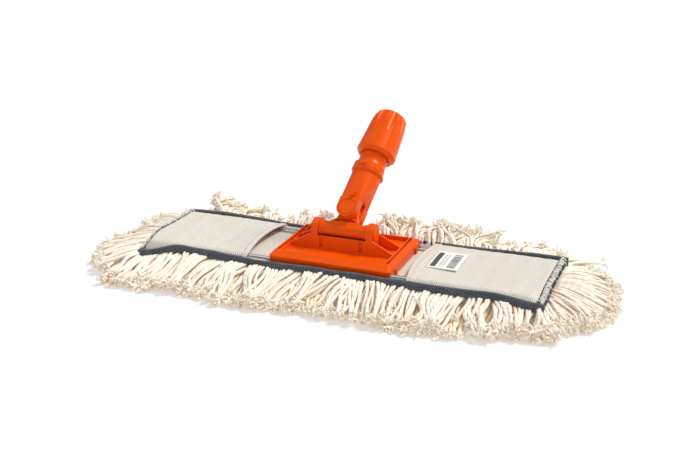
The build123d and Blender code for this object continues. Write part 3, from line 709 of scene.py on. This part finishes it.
@dataclass
class Cover:
    """The canvas, its pockets, bindings, end tapes and label."""

    cloth: float = 1.1 * MM
    binding_half_width: float = 3.5 * MM
    binding_half_height: float = 5.5 * MM
    stitch_step: float = 3.4 * MM
    overlock_step: float = 0.75 * MM
    overlock_columns: int = 4
    hem: float = 7 * MM
    pieces: dict[str, Piece] = field(default_factory=dict)

    def build(self) -> None:
        """Build every cloth piece of both ends."""
        for side in Side:
            trims = [self.binding(side, edge) for edge in Edge]
            trims += [self.binding_stitches(side, edge) for edge in Edge]
            self.backing(side)
            self.pocket(side)
            self.end_tape(side)
        self.label()

    def backing(self, side: Side) -> None:
        """Make one half of the canvas backing, from the middle to the end."""
        reach = COVER_HALF_LENGTH - 1 * MM
        half = COVER_HALF_WIDTH - self.binding_half_width
        low, high = patch(side, 0, reach, half)

        def place(x: float, y: float) -> Vector:
            """Lay the sheet flat, following the edges' droop."""
            pucker = 0.25 * MM * noise.noise(Vector((x * 30, y * 30, 0)))
            rise = 1.6 * MM * smooth_step(WIRE_AXIS_Y, half, abs(y))
            return Vector((x, y, CLOTH_Z + HANG.offset(x, y) + pucker + rise))

        name = f"canvas_backing_{side.label}"
        piece = grid_piece(name, CANVAS, low, high, (100, 48), place, self.cloth)
        ride_wing(piece, side)
        parts = [f"backing_{side.label}"] + (["backing_centre"] if side is Side.LEFT else [])
        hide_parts(*parts)
        f"sole_{side.label}"
        self.pieces[name] = piece

    def pocket(self, side: Side) -> None:
        """Make one pocket: a sheet over the wire loop with a hemmed, bowed mouth."""
        low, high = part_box(f"pocket_{side.label}")
        mouth, end = min(abs(low[0]), abs(high[0])), TAPE_INNER + 2 * MM
        half = COVER_HALF_WIDTH - self.binding_half_width - 1.5 * MM
        top = WIRE_TOP + 1.2 * MM
        gape = 4.5 * MM if side is Side.LEFT else 1.2 * MM
        bow = 3 * MM if side is Side.LEFT else -5 * MM

        def place(x: float, y: float) -> Vector:
            """Stretch the sheet over the wires and down to the bindings."""
            near = 1 - smooth_step(0, 46 * MM, abs(x) - mouth)
            across = min(1.0, abs(y) / WIRE_AXIS_Y)
            held = smooth_step(WIRE_AXIS_X - 50 * MM, WIRE_AXIS_X - 12 * MM, abs(x))
            sag = -1.5 * MM * (1 - across**2) * (1 - near) * (1 - held)
            lift = gape * near * (1 - across**2)
            fall = (top - CLOTH_Z - 3.4 * MM) * smooth_step(WIRE_AXIS_Y + 2.2 * MM, half, abs(y))
            droop = HANG.offset(x, y)
            pucker = 0.5 * MM * noise.noise(Vector((x * 22, y * 26, 4 + side.value))) * (1 - held)
            ripple = 0.35 * MM * math.sin(x * 210) * smooth_step(0.6, 1, across) * (1 - near)
            shift = side.value * bow * near * (1 - across**2)
            return Vector((x + shift, y, top + sag + lift - fall + droop + pucker + abs(ripple)))

        low, high = patch(side, mouth, end, half)
        name = f"canvas_pocket_{side.label}"
        piece = grid_piece(name, CANVAS, low, high, (84, 66), place, self.cloth)
        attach(piece, side.wing)
        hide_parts(f"pocket_{side.label}")

        def hem_place(x: float, y: float) -> Vector:
            """Lay the hem on the pocket."""
            return place(x, y) + Vector((0, 0, 0.8 * MM))

        low, high = patch(side, mouth - 0.3 * MM, mouth + self.hem, half - 1 * MM)
        hem = grid_piece(f"pocket_hem_{side.label}", CANVAS, low, high, (6, 60), hem_place, 0.8 * MM)
        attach(hem, side.wing)
        seam = side.value * (mouth + self.hem - 1.4 * MM)
        rows = []
        count = int(2 * half / self.stitch_step)
        for k in range(count):
            y = -half + 2 * MM + k * self.stitch_step
            points = [hem_place(seam, y + d * self.stitch_step) + Vector((0, 0, h)) for d, h in
                      ((0.0, 0.0), (0.2, 0.5 * MM), (0.55, 0.5 * MM), (0.75, 0.0))]
            rows.append(Strand(points, [0.32 * MM] * 4))
        thread = sew(f"hem_stitches_{side.label}", rows, WHITE_THREAD)
        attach(thread, side.wing)
        f"wire_{side.label}"
        self.pieces[name] = piece

    def binding(self, side: Side, edge: Edge) -> Piece:
        """Make half of one rolled binding as a swept, slightly flattened tape."""
        steps = 130
        shape = bmesh.new()
        ring = bmesh.ops.create_circle(shape, segments=16, radius=1.0)["verts"]
        bmesh.ops.rotate(shape, verts=ring, matrix=Matrix.Rotation(math.radians(90), 3, "Y"))
        centre_y = edge.value * (COVER_HALF_WIDTH - self.binding_half_width)

        def section(vert: Vector, x: float) -> Vector:
            """Squash a unit ring into the tape's section at a place along the mop."""
            twist = edge.value * (0.12 + 0.3 * noise.noise(Vector((x * 16, edge.value * 5, 0))))
            outside = vert.y * edge.value > 0
            groove = 0.8 if outside and 0.05 < vert.z < 0.45 else 1.0
            wide = self.binding_half_width * (1 + 0.16 * noise.noise(Vector((x * 60, 3, 0)))) * groove
            tall = self.binding_half_height * (1 + 0.14 * noise.noise(Vector((x * 38, 9, edge.value))))
            y, z = vert.y * wide, vert.z * tall
            turn_y = y * math.cos(twist) - z * math.sin(twist)
            turn_z = y * math.sin(twist) + z * math.cos(twist)
            return Vector((x, centre_y + turn_y, binding_height(x, edge) + turn_z))

        unit = [v.co.copy() for v in ring]
        edges = list(shape.edges)
        for vert, at in zip(ring, unit):
            vert.co = section(at, 0.0)
        first = edges
        for step in range(1, steps + 1):
            x = side.value * COVER_HALF_LENGTH * step / steps
            grown = bmesh.ops.extrude_edge_only(shape, edges=edges)["geom"]
            verts = [g for g in grown if isinstance(g, bmesh.types.BMVert)]
            edges = [g for g in grown if isinstance(g, bmesh.types.BMEdge)]
            last_x = side.value * COVER_HALF_LENGTH * (step - 1) / steps
            for vert in verts:
                at = min(unit, key=lambda u: (section(u, last_x) - vert.co).length)
                vert.co = section(at, x)
        bmesh.ops.edgeloop_fill(shape, edges=edges)
        bmesh.ops.edgeloop_fill(shape, edges=first)
        bmesh.ops.recalc_face_normals(shape, faces=shape.faces)
        name = f"rolled_binding_{edge.label}_{side.label}"
        piece = finish_piece(keep_mesh(shape, name), name, TAPE)
        ride_wing(piece, side)
        parts = [f"binding_{edge.label}_{side.label}"]
        parts += [f"binding_{edge.label}_centre"] if side is Side.LEFT else []
        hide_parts(*parts)
        return piece

    def binding_stitches(self, side: Side, edge: Edge) -> Piece:
        """Sew a row of short stitches along the inner flank of a binding."""
        strands = []
        y = edge.value * (COVER_HALF_WIDTH - 2 * self.binding_half_width + 0.7 * MM)
        count = int(COVER_HALF_LENGTH / self.stitch_step)
        for k in range(count):
            start = side.value * (k * self.stitch_step + 1 * MM)
            points = []
            for part in (0.0, 0.3, 0.6):
                x = start + side.value * part * self.stitch_step
                lift = self.binding_half_height * 0.62 + (0.3 * MM if part == 0.3 else 0)
                points.append(Vector((x, y, binding_height(x, edge) + lift)))
            strands.append(Strand(points, [0.4 * MM] * 3))
        name = f"binding_stitches_{edge.label}_{side.label}"
        piece = sew(name, strands, DARK_THREAD)
        ride_wing(piece, side)
        return piece

    def end_tape(self, side: Side) -> None:
        """Overlock one end: a cloth strip under a dense zigzag of dark and white thread."""
        inner, outer = TAPE_INNER + 0.4 * MM, COVER_HALF_LENGTH
        half = COVER_HALF_WIDTH - self.binding_half_width

        def place(x: float, y: float) -> Vector:
            """Roll the strip over the cover's end."""
            part = (abs(x) - inner) / (outer - inner)
            arch = math.sin(math.pi * min(1.0, max(0.0, part * 0.9 + 0.1)))
            z = CLOTH_Z + 4.6 * MM + 4.6 * MM * arch
            return Vector((x, y, z + HANG.offset(x, y)))

        low, high = patch(side, inner, outer, half)
        name = f"overlocked_end_{side.label}"
        piece = grid_piece(name, GREY_THREAD, low, high, (10, 60), place, 3.2 * MM)
        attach(piece, side.wing)
        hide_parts(f"end_tape_{side.label}")
        draw = random.Random(11 + side.value)
        wide = outer - inner
        threads: dict[str, list[Strand]] = {"white": [], "dark": []}
        margin = 2.5 * MM
        for k in range(int((2 * half - 2 * margin) / self.overlock_step)):
            y = -half + margin + k * self.overlock_step
            for column in range(self.overlock_columns):
                start = (column + draw.uniform(-0.15, 0.15)) / self.overlock_columns
                at_edge = column in (0, self.overlock_columns - 1)
                dark = draw.random() < (0.9 if at_edge else 0.14)
                slant = draw.uniform(-1.6, 1.6) * MM
                points = []
                for n in range(4):
                    part = min(0.97, max(0.02, start + 0.3 * n / 3))
                    at = place(side.value * (inner + part * wide), y + slant * n / 3)
                    hump = (0.75 if n in (1, 2) else 0.25) * MM
                    points.append(at + Vector((0, 0, hump)))
                threads["dark" if dark else "white"].append(Strand(points, [0.55 * MM] * 4))
        for shade, finish in (("white", WHITE_THREAD), ("dark", DARK_THREAD)):
            thread = sew(f"overlock_{shade}_{side.label}", threads[shade], finish)
            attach(thread, side.wing)

    def label(self) -> None:
        """Sew the printed label on the right pocket."""
        top = WIRE_TOP + 2.2 * MM

        def place(x: float, y: float) -> Vector:
            """Lay the label over the pocket's slight crown."""
            return Vector((x, y, top + 0.2 * MM * math.sin(y * 160)))

        low, high = Vector(LABEL_LOW), Vector(LABEL_HIGH)
        piece = grid_piece("printed_label", LABEL, low, high, (12, 20), place, 0.4 * MM)
        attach(piece, Side.RIGHT.wing)
        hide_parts("label")


# ---- Yarn ----


@dataclass(frozen=True)
class Bunch:
    """What neighbouring cords that cling together share."""

    gather: float
    lean: float
    rise: float
    phase: float
    swing: float
    turns: float
    short: float


@dataclass(frozen=True)
class Layer:
    """One layer of a fringe: its name, rows and how its cords lie."""

    name: str
    rows: int
    drop: float
    tip: tuple[float, float]
    lively: float
    finish: Finish
    tufts: int


UPPER = Layer("upper", 2, 0.0, (4 * MM, 13 * MM), 1.0, YARN, 12)
# The lower layer uses the darker copy of the yarn as painted shade.
LOWER = Layer("lower", 3, 8 * MM, (1.5 * MM, 6 * MM), 0.5, SHADED_LOWER_YARN, 9)


# Stretches of the back fringe that stand up: where each starts, is full, fades and ends.
TALL_TUFTS = (
    (20 * MM, 50 * MM, 110 * MM, 175 * MM),
    (-208 * MM, -200 * MM, -196 * MM, -188 * MM),
)


@dataclass
class Yarn:
    """Cut cotton cords round the cover, and looped cords beneath it."""

    thick_cord: float = 2.1 * MM
    combed_cord: float = 1.5 * MM
    sole_cord: float = 2.6 * MM
    sole_pitch: float = 5.2 * MM
    sewn_in: float = 8 * MM
    hair: tuple[float, ...] = (1.2 * MM, 1.5 * MM, 1.4 * MM, 0.8 * MM)
    steps: int = 14
    spacing: float = 4.4 * MM
    bunch_width: float = 24 * MM
    fan: float = 70
    seed: int = 5

    def __post_init__(self) -> None:
        """Start the random draws."""
        self.draw = random.Random(self.seed)
        self.cord = self.thick_cord

    def bunch(self, place: float, salt: int, wild: float) -> tuple[Bunch, float]:
        """Find the bunch that a cord belongs to.

        Args:
            place: Where the cord is sewn along its edge.
            salt: Number of the row, so that rows bunch differently.
            wild: How strongly the cords curl, about 1.

        Returns:
            The bunch, and the way from the cord to its middle.
        """
        size = self.bunch_width
        warped = place + 11 * MM * noise.noise(Vector((place * 40, salt * 3.7, 0)))
        cell = math.floor(warped / size)
        pick = random.Random(cell * 53 + salt * 7)
        shared = Bunch(
            gather=pick.uniform(0.15, 0.85) * wild,
            lean=pick.uniform(-26, 26) * MM * wild,
            rise=pick.uniform(0, 1),
            phase=pick.uniform(0, math.tau),
            swing=pick.uniform(2, 9) * MM * wild,
            turns=pick.uniform(3.0, 6.5),
            short=pick.uniform(0.72, 1.0),
        )
        return shared, (cell + 0.5) * size - warped

    def lie(self, root: Vector, out: Vector, reach: float, rise: float, tip: float, bunch: Bunch,
            toward: float) -> Strand:
        """Shape one cord from its root, out and down towards the floor.

        Args:
            root: Where the cord is sewn.
            out: Unit direction away from the cover, level.
            reach: How far out it goes.
            rise: How far it humps up before it falls.
            tip: Height of its end above the floor.
            bunch: What it shares with its neighbours.
            toward: Way along the edge to the bunch's middle.

        Returns:
            The cord's centre line.
        """
        draw = self.draw
        side = Vector((-out.y, out.x, 0))
        own = draw.uniform(-0.5, 0.5)
        fall = draw.uniform(1.0, 1.7)
        drift = bunch.lean + bunch.gather * toward + draw.uniform(-4, 4) * MM
        thick = self.cord * draw.uniform(0.86, 1.16)
        hook = draw.uniform(-7, 7) * MM
        points = []
        radii = []
        for n in range(self.steps + 1):
            t = n / self.steps
            z = root.z + (tip - root.z) * t**fall + rise * math.sin(math.pi * t**0.8) * (1 - 0.6 * t)
            start = bunch.phase + own
            sway = bunch.swing * (math.sin(start + t * bunch.turns) - math.sin(start)) * t
            across = drift * t**1.2 + sway + hook * smooth_step(0.65, 1.0, t)
            ahead = reach * (t - 0.05 * math.sin(math.tau * t + bunch.phase) * t)
            place = root + out * ahead + side * across
            points.append(Vector((place.x, place.y, max(z, 1.1 * thick))))
            radii.append(thick * (1.0 + 0.07 * math.sin(bunch.phase + 11 * t)))
        return Strand(points, radii)

    def fray(self, strand: Strand, hairs: int) -> list[Strand]:
        """Untwist a cord's end into a tuft of curling filaments.

        Args:
            strand: The cord.
            hairs: How many filaments.

        Returns:
            The filaments.
        """
        draw = self.draw
        tip = strand.points[-1]
        ahead = (tip - strand.points[-3]).normalized()
        tuft = []
        for _ in range(hairs):
            spread = Vector([draw.gauss(0, 0.7) for _ in range(3)])
            way = (ahead * 0.6 + spread).normalized()
            curl = Vector([draw.uniform(-0.8, 0.8) for _ in range(3)])
            length = draw.uniform(2.5, 5.5) * MM
            scatter = Vector([draw.uniform(-2.2, 2.2) * MM for _ in range(3)])
            start = tip - ahead * draw.uniform(0, 6) * MM + scatter
            points = []
            for t in (0.0, 0.3, 0.65, 1.0):
                points.append(lifted(start + (way * t + curl * t * t) * length, 1.6 * MM))
            tuft.append(Strand(points, list(self.hair)))
        return tuft

    def standing(self, x: float, bunch: Bunch) -> float:
        """Tell how upright a cord of the back fringe stands: mostly low, with two tall tufts."""
        tall = max(smooth_step(start, full, x) * (1 - smooth_step(fade, end, x))
                   for start, full, fade, end in TALL_TUFTS)
        low = bunch.rise * self.draw.uniform(0.3, 1.0) * (1 - smooth_step(205 * MM, 240 * MM, abs(x)))
        return low * (1 - tall) + self.draw.uniform(0.8, 1.35) * tall

    def wisp(self, strand: Strand) -> Strand:
        """Split a thinner, looser cord off another."""
        stray = Vector([self.draw.uniform(-8, 8) * MM for _ in range(3)])
        last = len(strand.points) - 1
        points = [lifted(at + stray * (n / last) ** 1.3, 2 * MM) for n, at in enumerate(strand.points)]
        return Strand(points, [0.6 * radius for radius in strand.radii])

    def side_fringe(self, side: Side, edge: Edge) -> None:
        """Make half of the front or back fringe, as an upper and a lower layer."""
        depth = FRINGE_BACK_HIGH[1] - COVER_HALF_WIDTH
        out = Vector((0, edge.value, 0))
        for layer in (UPPER, LOWER):
            strands = []
            count = int(COVER_HALF_LENGTH / self.spacing)
            for row, k in ((r, k) for r in range(layer.rows) for k in range(count)):
                x = (k + 0.5 + 0.5 * (row % 2)) * self.spacing + self.draw.uniform(-0.9, 0.9) * MM
                x = side.value * min(x, COVER_HALF_LENGTH - 2 * MM)
                shared, toward = self.bunch(x, 11 * row + layer.rows + edge.value, layer.lively)
                height = YARN_TOP - 1.2 * MM - layer.drop - row * 3.6 * MM
                height += 0.9 * HANG.offset(x, edge.value * COVER_HALF_WIDTH)
                root = Vector((x, edge.value * (COVER_HALF_WIDTH - self.sewn_in), max(3 * MM, height)))
                reach = (depth + 4 * MM) * self.draw.uniform(0.9, 1.0) * shared.short
                rise = (1 + 6 * shared.rise + self.draw.uniform(0, 3)) * MM * layer.lively
                tip = self.draw.uniform(*layer.tip)
                stand = 0.0
                if edge is Edge.FRONT:
                    reach *= 1 - 0.1 * smooth_step(-0.2, 0.1, x) - 0.42 * smooth_step(0.12, 0.26, x)
                elif layer is UPPER:
                    stand = self.standing(x, shared)
                    tip += 26 * MM * stand
                    rise += 8 * MM * stand
                    reach *= 1 - 0.3 * min(stand, 1.2)
                near_end = smooth_step(0.72, 1.0, abs(x) / COVER_HALF_LENGTH)
                lean = shared.lean * (1 - 0.6 * near_end) - edge.value * side.value * 14 * MM * near_end
                shared = replace(shared, lean=lean)
                strands.append(self.lie(root, out, reach, rise, tip, shared, -edge.value * toward))
                strands += [self.wisp(strands[-1]) for _ in range(3 if stand > 0.7 else 0)]
            tufts = [hair for s in strands for hair in self.fray(s, layer.tufts)]
            places = ("left", "centre") if side is Side.LEFT else ("right",)
            stands_for = [f"fringe_{edge.label}_{place}" for place in places] if layer is UPPER else []
            name = f"yarn_{edge.label}_{side.label}_{layer.name}"
            self.piece(name, strands, tufts, layer, side, True, stands_for)

    def end_fringe(self, side: Side) -> None:
        """Make the fan of cords at one end of the mop."""
        depth = FRINGE_END_HIGH[0] - COVER_HALF_LENGTH
        width = COVER_HALF_WIDTH
        combed = side is Side.RIGHT
        self.cord = self.combed_cord if combed else self.thick_cord
        for layer in (UPPER, LOWER):
            strands = []
            count = int(2 * width / self.spacing) + (38 if combed else 14)
            for row, k in ((r, k) for r in range(layer.rows + 1) for k in range(count)):
                across = -1 + 2 * (k + 0.5 + 0.5 * (row % 2)) / (count + 1)
                turn = across * math.radians(self.fan) + self.draw.uniform(-0.09, 0.09)
                out = Vector((side.value * math.cos(turn), math.sin(turn), 0))
                y = across * (width - 3 * MM)
                droop = HANG.offset(side.value * COVER_HALF_LENGTH, y) * 0.8
                height = YARN_TOP - 1 * MM - layer.drop - row * 3.2 * MM + droop
                root = Vector((side.value * (COVER_HALF_LENGTH - 7 * MM), y, max(3 * MM, height)))
                wild = 0.35 if combed else 0.7
                shared, toward = self.bunch(y + 9.0, 90 + 5 * row + layer.rows, layer.lively * wild)
                corner = 1 - 0.3 * smooth_step(0.35, 1.0, abs(across))
                if combed:
                    front, back = smooth_step(-0.1, 0.8, -across), smooth_step(0.5, 1.0, across)
                    corner *= 0.93 - 0.42 * front - 0.12 * back
                reach = (depth + 5 * MM) * self.draw.uniform(0.88, 1.0)
                reach *= (0.5 + 0.5 * shared.short) * corner
                rise = (1 + 9 * shared.rise + self.draw.uniform(0, 4)) * MM * layer.lively
                rise *= 1 - 0.75 * smooth_step(0.4, 0.9, across)
                tip = self.draw.uniform(*layer.tip)
                strands.append(self.lie(root, out, reach, rise, tip, shared, side.value * toward))
            tufts = [hair for s in strands for hair in self.fray(s, layer.tufts)]
            self.piece(f"yarn_end_{side.label}_{layer.name}", strands, tufts, layer, side, False,
                       [f"fringe_end_{side.label}"] if layer is UPPER else [])

    def sole(self, side: Side) -> None:
        """Lay looped cords across the underside of one half."""
        strands = []
        half = COVER_HALF_WIDTH - 4 * MM
        pitch = self.sole_pitch
        steps = 36
        for layer in range(2):
            for k in range(int(COVER_HALF_LENGTH / pitch)):
                x = side.value * (k + 0.5 + 0.5 * layer) * pitch
                phase = self.draw.uniform(0, math.tau)
                points = []
                for n in range(steps + 1):
                    y = half * (2 * n / steps - 1)
                    wiggle = 3.2 * MM * math.sin(y * 150 + phase)
                    z = 4.1 * MM + layer * 5 * MM + 1.3 * MM * math.sin(y * 210 + phase * 2)
                    points.append(Vector((x + wiggle, y, z)))
                strands.append(Strand(points, [self.sole_cord] * (steps + 1)))
        name = f"yarn_sole_{side.label}"
        piece = sew(name, strands, SOLE_YARN, 6)
        ride_wing(piece, side)
        parts = [f"sole_{side.label}"] + (["sole_centre"] if side is Side.LEFT else [])
        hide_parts(*parts)

    def piece(self, name: str, strands: list[Strand], tufts: list[Strand], layer: Layer, side: Side,
              folds: bool, nodes: list[str]) -> None:
        """Join cords and their frayed ends into one piece.

        Args:
            name: The piece's name.
            strands: The cords.
            tufts: The filaments at their ends.
            layer: The layer that they belong to.
            side: The end of the mop.
            folds: Whether the piece crosses the fold line.
            nodes: The plain solids that it stands for.
        """
        shape = bmesh.new()
        for kind, (part, sides) in enumerate(((strands, 6), (tufts, 4))):
            mesh = strands_mesh(name + "_part", part, sides)
            mesh.polygons.foreach_set("material_index", [kind] * len(mesh.polygons))
            shape.from_mesh(mesh)
            bpy.data.meshes.remove(mesh)
        mesh = keep_mesh(shape, name)
        made = finish_piece(mesh, name, layer.finish)
        mesh.materials.append(TUFTS.make())
        if folds:
            ride_wing(made, side)
        else:
            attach(made, side.wing)
        if nodes:
            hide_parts(*nodes)
        log.info("%s: %d cords, %d faces", name, len(strands), len(mesh.polygons))

    def build(self) -> None:
        """Make every yarn piece."""
        for side in Side:
            for edge in Edge:
                self.side_fringe(side, edge)
            self.sole(side)
        for side in Side:
            self.end_fringe(side)


# ---- Hard parts ----


@dataclass
class HardParts:
    """The moulded, turned and drawn parts, which keep their own shapes."""

    finishes: dict[str, Finish] = field(default_factory=lambda: {
        "orange_plastic": ORANGE,
        "chrome_wire": CHROME,
        "axle_steel": STEEL,
        "white_nylon": NYLON,
    })

    def build(self) -> None:
        """Give each hard node its finish."""
        for part in frame["record"]["subparts"]:
            finish = self.finishes.get(part["material_slot"])
            if finish is None:
                continue
            node = bpy.data.objects[part["node"]]
            if not node.material_slots:
                node.data.materials.append(finish.make())
            for slot in node.material_slots:
                slot.material = finish.make()
            log.info("%s: %s", part["node"], finish.name)


@dataclass
class ButtonSpring:
    """The small coil behind the snap button, which shortens as the button goes in."""

    coil_radius: float = 1.85 * MM
    height: float = 1.7 * MM
    wire: float = 0.35 * MM
    rounds: int = 2
    keep: float = 0.45

    def build(self) -> None:
        """Wind the coil round the button's own axis."""
        press = next(j for j in frame["record"]["behaviour"]["joints"] if j["name"] == "button_press")
        outward = -Vector(press["axis"]).normalized()
        across = outward.orthogonal().normalized()
        low, high = (Vector(corner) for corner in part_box("button_spring"))
        seat = (low + high) / 2 - outward * self.height / 2
        points = []
        steps = 16 * self.rounds
        for n in range(steps + 1):
            turn = Matrix.Rotation(math.tau * self.rounds * n / steps, 3, outward)
            points.append(seat + outward * self.height * n / steps + turn @ across * self.coil_radius)
        piece = sew("button_coil", [Strand(points, [self.wire] * len(points))], STEEL, 8)
        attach(piece, "handle_socket")
        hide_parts("button_spring")
        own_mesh(piece)


# ---- Stage ----


@dataclass(frozen=True)
class Lamp:
    """One even light: its name, where it shines from, its strength and its width in degrees."""

    name: str
    place: tuple[float, float, float]
    power: float
    spread: float

    def build(self) -> None:
        """Shine the light on the mop."""
        lamp = bpy.data.lights.new(self.name, "SUN")
        lamp.energy = self.power
        lamp.angle = math.radians(self.spread)
        holder = bpy.data.objects.new(self.name, lamp)
        holder.location = self.place
        holder.rotation_euler = (-Vector(self.place)).to_track_quat("-Z", "Y").to_euler()
        bpy.context.scene.collection.objects.link(holder)


LAMPS = (
    Lamp("key", (0.75, 0.55, 1.2), 2.6, 18),
    Lamp("fill", (-1.2, -0.5, 1.3), 0.36, 60),
    Lamp("front", (0.7, -1.5, 0.9), 0.42, 70),
)


@dataclass
class Studio:
    """Pale floor, soft lights and the camera."""

    floor_colour: Colour = (0.6, 0.6, 0.595, 1)
    floor_glow: float = 0.36
    sky_light: float = 0.36
    lens: float = 52.11
    eye: tuple[float, float, float] = (0.4444, -0.9889, 0.4919)
    turn: tuple[float, float, float] = (68.269, 1.730, 23.537)

    def build(self) -> None:
        """Set up the floor, the lights, the world and the camera."""
        shape = bmesh.new()
        bmesh.ops.create_grid(shape, x_segments=2, y_segments=2, size=6.0)
        mesh = keep_mesh(shape, "pale_floor")
        floor = bpy.data.objects.new("pale_floor", mesh)
        bpy.context.scene.collection.objects.link(floor)
        paint = bpy.data.materials.new("pale_floor")
        paint.use_nodes = True
        shader = next(n for n in paint.node_tree.nodes if n.type == "BSDF_PRINCIPLED")
        white = (1, 1, 1, 1)
        Nodes(paint.node_tree).fill(shader, {"Base Color": self.floor_colour, "Roughness": 0.9,
                                             "Emission Color": white, "Emission Strength": self.floor_glow})
        mesh.materials.append(paint)
        for lamp in LAMPS:
            lamp.build()
        world = bpy.data.worlds.new("studio")
        world.use_nodes = True
        sky = next(n for n in world.node_tree.nodes if n.type == "BACKGROUND")
        nodes = Nodes(world.node_tree)
        seen = nodes.add("ShaderNodeLightPath").outputs["Is Camera Ray"]
        nodes.fill(sky, {"Color": white, "Strength": nodes.span(seen, 0.0, 1.0, self.sky_light, 1.0)})
        bpy.context.scene.world = world
        bpy.context.scene.view_settings.view_transform = "Standard"
        camera = bpy.data.cameras.new("camera")
        camera.lens = self.lens
        camera.sensor_width = 36
        camera.clip_start = 0.01
        seat = bpy.data.objects.new("camera", camera)
        seat.location = self.eye
        seat.rotation_euler = Euler([math.radians(a) for a in self.turn])
        bpy.context.scene.collection.objects.link(seat)
        bpy.context.scene.camera = seat


def main() -> None:
    """Build the mop's looks in order."""
    logging.basicConfig(level=logging.INFO, format="%(name)s %(message)s")
    Studio().build()
    HardParts().build()
    ButtonSpring().build()
    Cover().build()
    Yarn().build()


if __name__ == "__main__":
    main()
